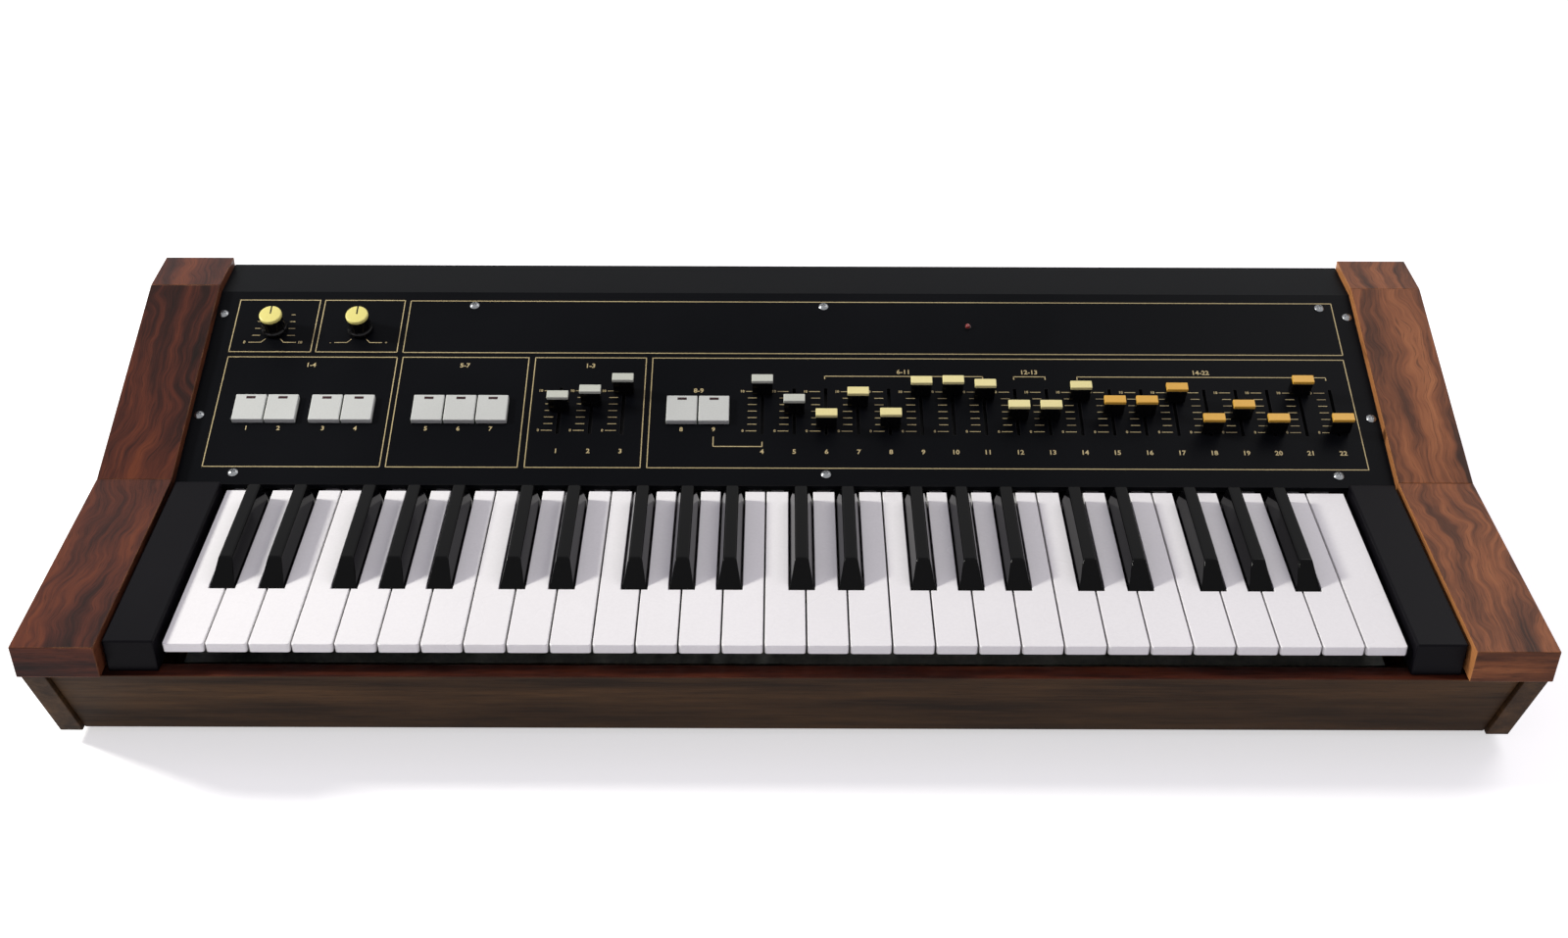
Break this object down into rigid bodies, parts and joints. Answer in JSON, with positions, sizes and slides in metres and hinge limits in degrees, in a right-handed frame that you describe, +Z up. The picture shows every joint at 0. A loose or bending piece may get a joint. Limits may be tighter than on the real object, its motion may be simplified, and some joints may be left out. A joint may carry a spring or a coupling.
{
  "type": "synthesizer",
  "caption": "Keyboard synthesizer in a wooden case, with sprung piano keys, slide and rotary controls, push buttons and rear sockets.",
  "frame": {"origin": "on the floor, under the middle of the instrument's box", "axes": "+Z up, +X to the player's right, +Y away from the player, towards the rear sockets"},
  "size_m": [0.8368, 0.352, 0.1426],
  "materials": {
    "wood_left": "satin varnish, straight grain",
    "wood_right": "satin varnish, straight grain",
    "wood_case": "satin varnish, straight grain",
    "plywood": "plain plywood",
    "panel_paint": "fine satin black paint",
    "steel": "zinc plated",
    "black_plastic": "satin black",
    "circuit": "green lacquered board",
    "pots": "plated cans",
    "transformer": "varnished laminations",
    "jacks": "black moulded",
    "screw_steel": "polished",
    "rubber": "matt",
    "white_key": "glossy white",
    "black_key": "glossy black",
    "knob_yellow": "satin",
    "button_grey": "satin pale grey",
    "slide_grey": "satin pale grey",
    "slide_cream": "satin cream",
    "slide_orange": "satin orange"
  },
  "bodies": {
    "case": {"left_cheek": "wood_left", "right_cheek": "wood_right", "side_boards": "wood_case", "front_rail": "wood_case", "bottom_board": "plywood", "control_panel": "panel_paint", "panel_rails": "steel", "rear_panel": "panel_paint", "key_end_blocks": "black_plastic", "key_frame": "steel", "potentiometers": "pots", "circuit_boards": "circuit", "power_transformer": "transformer", "rear_jacks": "jacks", "screws": "screw_steel", "rubber_feet": "rubber"},
    "keys_c": {"keys_c": "white_key"},
    "keys_d": {"keys_d": "white_key"},
    "keys_e": {"keys_e": "white_key"},
    "keys_f": {"keys_f": "white_key"},
    "keys_g": {"keys_g": "white_key"},
    "keys_a": {"keys_a": "white_key"},
    "keys_b": {"keys_b": "white_key"},
    "left_sharps": {"left_sharps": "black_key"},
    "middle_sharps": {"middle_sharps": "black_key"},
    "right_sharps": {"right_sharps": "black_key"},
    "knob_1": {"knob_1": "knob_yellow"},
    "knob_2": {"knob_2": "knob_yellow"},
    "power_rocker": {"power_rocker": "black_plastic"},
    "button_1": {"button_1": "button_grey"},
    "button_2": {"button_2": "button_grey"},
    "button_3": {"button_3": "button_grey"},
    "button_4": {"button_4": "button_grey"},
    "button_5": {"button_5": "button_grey"},
    "button_6": {"button_6": "button_grey"},
    "button_7": {"button_7": "button_grey"},
    "button_8": {"button_8": "button_grey"},
    "button_9": {"button_9": "button_grey"},
    "slider_1": {"slider_1": "slide_grey"},
    "slider_2": {"slider_2": "slide_grey"},
    "slider_3": {"slider_3": "slide_grey"},
    "slider_4": {"slider_4": "slide_grey"},
    "slider_5": {"slider_5": "slide_grey"},
    "slider_6": {"slider_6": "slide_cream"},
    "slider_7": {"slider_7": "slide_cream"},
    "slider_8": {"slider_8": "slide_cream"},
    "slider_9": {"slider_9": "slide_cream"},
    "slider_10": {"slider_10": "slide_cream"},
    "slider_11": {"slider_11": "slide_cream"},
    "slider_12": {"slider_12": "slide_cream"},
    "slider_13": {"slider_13": "slide_cream"},
    "slider_14": {"slider_14": "slide_cream"},
    "slider_15": {"slider_15": "slide_orange"},
    "slider_16": {"slider_16": "slide_orange"},
    "slider_17": {"slider_17": "slide_orange"},
    "slider_18": {"slider_18": "slide_orange"},
    "slider_19": {"slider_19": "slide_orange"},
    "slider_20": {"slider_20": "slide_orange"},
    "slider_21": {"slider_21": "slide_orange"},
    "slider_22": {"slider_22": "slide_orange"}
  },
  "joints": [
    {"name": "keys_c_press", "type": "hinge", "parent": "case", "child": "keys_c", "pos_m": [0, 0.031, 0.076], "axis": [1, 0, 0], "range_deg": [0, 2.9], "stiffness_Nm_per_rad": 6, "springref_deg": -6.88},
    {"name": "keys_d_press", "type": "hinge", "parent": "case", "child": "keys_d", "pos_m": [0, 0.031, 0.076], "axis": [1, 0, 0], "range_deg": [0, 2.9], "stiffness_Nm_per_rad": 6, "springref_deg": -6.88},
    {"name": "keys_e_press", "type": "hinge", "parent": "case", "child": "keys_e", "pos_m": [0, 0.031, 0.076], "axis": [1, 0, 0], "range_deg": [0, 2.9], "stiffness_Nm_per_rad": 6, "springref_deg": -6.88},
    {"name": "keys_f_press", "type": "hinge", "parent": "case", "child": "keys_f", "pos_m": [0, 0.031, 0.076], "axis": [1, 0, 0], "range_deg": [0, 2.9], "stiffness_Nm_per_rad": 6, "springref_deg": -6.88},
    {"name": "keys_g_press", "type": "hinge", "parent": "case", "child": "keys_g", "pos_m": [0, 0.031, 0.076], "axis": [1, 0, 0], "range_deg": [0, 2.9], "stiffness_Nm_per_rad": 6, "springref_deg": -6.88},
    {"name": "keys_a_press", "type": "hinge", "parent": "case", "child": "keys_a", "pos_m": [0, 0.031, 0.076], "axis": [1, 0, 0], "range_deg": [0, 2.9], "stiffness_Nm_per_rad": 6, "springref_deg": -6.88},
    {"name": "keys_b_press", "type": "hinge", "parent": "case", "child": "keys_b", "pos_m": [0, 0.031, 0.076], "axis": [1, 0, 0], "range_deg": [0, 2.9], "stiffness_Nm_per_rad": 6, "springref_deg": -6.88},
    {"name": "left_sharps_press", "type": "hinge", "parent": "case", "child": "left_sharps", "pos_m": [0, 0.031, 0.076], "axis": [1, 0, 0], "range_deg": [0, 2.9], "stiffness_Nm_per_rad": 6, "springref_deg": -6.88},
    {"name": "middle_sharps_press", "type": "hinge", "parent": "case", "child": "middle_sharps", "pos_m": [0, 0.031, 0.076], "axis": [1, 0, 0], "range_deg": [0, 2.9], "stiffness_Nm_per_rad": 6, "springref_deg": -6.88},
    {"name": "right_sharps_press", "type": "hinge", "parent": "case", "child": "right_sharps", "pos_m": [0, 0.031, 0.076], "axis": [1, 0, 0], "range_deg": [0, 2.9], "stiffness_Nm_per_rad": 6, "springref_deg": -6.88},
    {"name": "knob_1_turn", "type": "hinge", "parent": "case", "child": "knob_1", "pos_m": [-0.3321, 0.10489, 0.13106], "axis": [0, -0.3107, 0.9505], "range_deg": [-150, 150]},
    {"name": "knob_2_turn", "type": "hinge", "parent": "case", "child": "knob_2", "pos_m": [-0.2764, 0.10489, 0.13106], "axis": [0, -0.3107, 0.9505], "range_deg": [-150, 150]},
    {"name": "power_rocker_tilt", "type": "hinge", "parent": "case", "child": "power_rocker", "pos_m": [0.25, 0.163, 0.078], "axis": [1, 0, 0], "range_deg": [-16, 0]},
    {"name": "button_1_push", "type": "slide", "parent": "case", "child": "button_1", "axis": [0, 0.3107, -0.9505], "range_m": [0, 0.002], "stiffness_N_per_m": 250, "springref_m": -0.002},
    {"name": "button_2_push", "type": "slide", "parent": "case", "child": "button_2", "axis": [0, 0.3107, -0.9505], "range_m": [0, 0.002], "stiffness_N_per_m": 250, "springref_m": -0.002},
    {"name": "button_3_push", "type": "slide", "parent": "case", "child": "button_3", "axis": [0, 0.3107, -0.9505], "range_m": [0, 0.002], "stiffness_N_per_m": 250, "springref_m": -0.002},
    {"name": "button_4_push", "type": "slide", "parent": "case", "child": "button_4", "axis": [0, 0.3107, -0.9505], "range_m": [0, 0.002], "stiffness_N_per_m": 250, "springref_m": -0.002},
    {"name": "button_5_push", "type": "slide", "parent": "case", "child": "button_5", "axis": [0, 0.3107, -0.9505], "range_m": [0, 0.002], "stiffness_N_per_m": 250, "springref_m": -0.002},
    {"name": "button_6_push", "type": "slide", "parent": "case", "child": "button_6", "axis": [0, 0.3107, -0.9505], "range_m": [0, 0.002], "stiffness_N_per_m": 250, "springref_m": -0.002},
    {"name": "button_7_push", "type": "slide", "parent": "case", "child": "button_7", "axis": [0, 0.3107, -0.9505], "range_m": [0, 0.002], "stiffness_N_per_m": 250, "springref_m": -0.002},
    {"name": "button_8_push", "type": "slide", "parent": "case", "child": "button_8", "axis": [0, 0.3107, -0.9505], "range_m": [0, 0.002], "stiffness_N_per_m": 250, "springref_m": -0.002},
    {"name": "button_9_push", "type": "slide", "parent": "case", "child": "button_9", "axis": [0, 0.3107, -0.9505], "range_m": [0, 0.002], "stiffness_N_per_m": 250, "springref_m": -0.002},
    {"name": "slider_1_slide", "type": "slide", "parent": "case", "child": "slider_1", "axis": [0, 0.9505, 0.3107], "range_m": [-0.0176, 0.0144]},
    {"name": "slider_2_slide", "type": "slide", "parent": "case", "child": "slider_2", "axis": [0, 0.9505, 0.3107], "range_m": [-0.0224, 0.0096]},
    {"name": "slider_3_slide", "type": "slide", "parent": "case", "child": "slider_3", "axis": [0, 0.9505, 0.3107], "range_m": [-0.032, 0]},
    {"name": "slider_4_slide", "type": "slide", "parent": "case", "child": "slider_4", "axis": [0, 0.9505, 0.3107], "range_m": [-0.03136, 0.00064]},
    {"name": "slider_5_slide", "type": "slide", "parent": "case", "child": "slider_5", "axis": [0, 0.9505, 0.3107], "range_m": [-0.01536, 0.01664]},
    {"name": "slider_6_slide", "type": "slide", "parent": "case", "child": "slider_6", "axis": [0, 0.9505, 0.3107], "range_m": [-0.00384, 0.02816]},
    {"name": "slider_7_slide", "type": "slide", "parent": "case", "child": "slider_7", "axis": [0, 0.9505, 0.3107], "range_m": [-0.02144, 0.01056]},
    {"name": "slider_8_slide", "type": "slide", "parent": "case", "child": "slider_8", "axis": [0, 0.9505, 0.3107], "range_m": [-0.00448, 0.02752]},
    {"name": "slider_9_slide", "type": "slide", "parent": "case", "child": "slider_9", "axis": [0, 0.9505, 0.3107], "range_m": [-0.0304, 0.0016]},
    {"name": "slider_10_slide", "type": "slide", "parent": "case", "child": "slider_10", "axis": [0, 0.9505, 0.3107], "range_m": [-0.03104, 0.00096]},
    {"name": "slider_11_slide", "type": "slide", "parent": "case", "child": "slider_11", "axis": [0, 0.9505, 0.3107], "range_m": [-0.02816, 0.00384]},
    {"name": "slider_12_slide", "type": "slide", "parent": "case", "child": "slider_12", "axis": [0, 0.9505, 0.3107], "range_m": [-0.0112, 0.0208]},
    {"name": "slider_13_slide", "type": "slide", "parent": "case", "child": "slider_13", "axis": [0, 0.9505, 0.3107], "range_m": [-0.0112, 0.0208]},
    {"name": "slider_14_slide", "type": "slide", "parent": "case", "child": "slider_14", "axis": [0, 0.9505, 0.3107], "range_m": [-0.02688, 0.00512]},
    {"name": "slider_15_slide", "type": "slide", "parent": "case", "child": "slider_15", "axis": [0, 0.9505, 0.3107], "range_m": [-0.01504, 0.01696]},
    {"name": "slider_16_slide", "type": "slide", "parent": "case", "child": "slider_16", "axis": [0, 0.9505, 0.3107], "range_m": [-0.01504, 0.01696]},
    {"name": "slider_17_slide", "type": "slide", "parent": "case", "child": "slider_17", "axis": [0, 0.9505, 0.3107], "range_m": [-0.0256, 0.0064]},
    {"name": "slider_18_slide", "type": "slide", "parent": "case", "child": "slider_18", "axis": [0, 0.9505, 0.3107], "range_m": [-0.00096, 0.03104]},
    {"name": "slider_19_slide", "type": "slide", "parent": "case", "child": "slider_19", "axis": [0, 0.9505, 0.3107], "range_m": [-0.01184, 0.02016]},
    {"name": "slider_20_slide", "type": "slide", "parent": "case", "child": "slider_20", "axis": [0, 0.9505, 0.3107], "range_m": [-0.00096, 0.03104]},
    {"name": "slider_21_slide", "type": "slide", "parent": "case", "child": "slider_21", "axis": [0, 0.9505, 0.3107], "range_m": [-0.032, 0]},
    {"name": "slider_22_slide", "type": "slide", "parent": "case", "child": "slider_22", "axis": [0, 0.9505, 0.3107], "range_m": [-0.00128, 0.03072]}
  ]
}
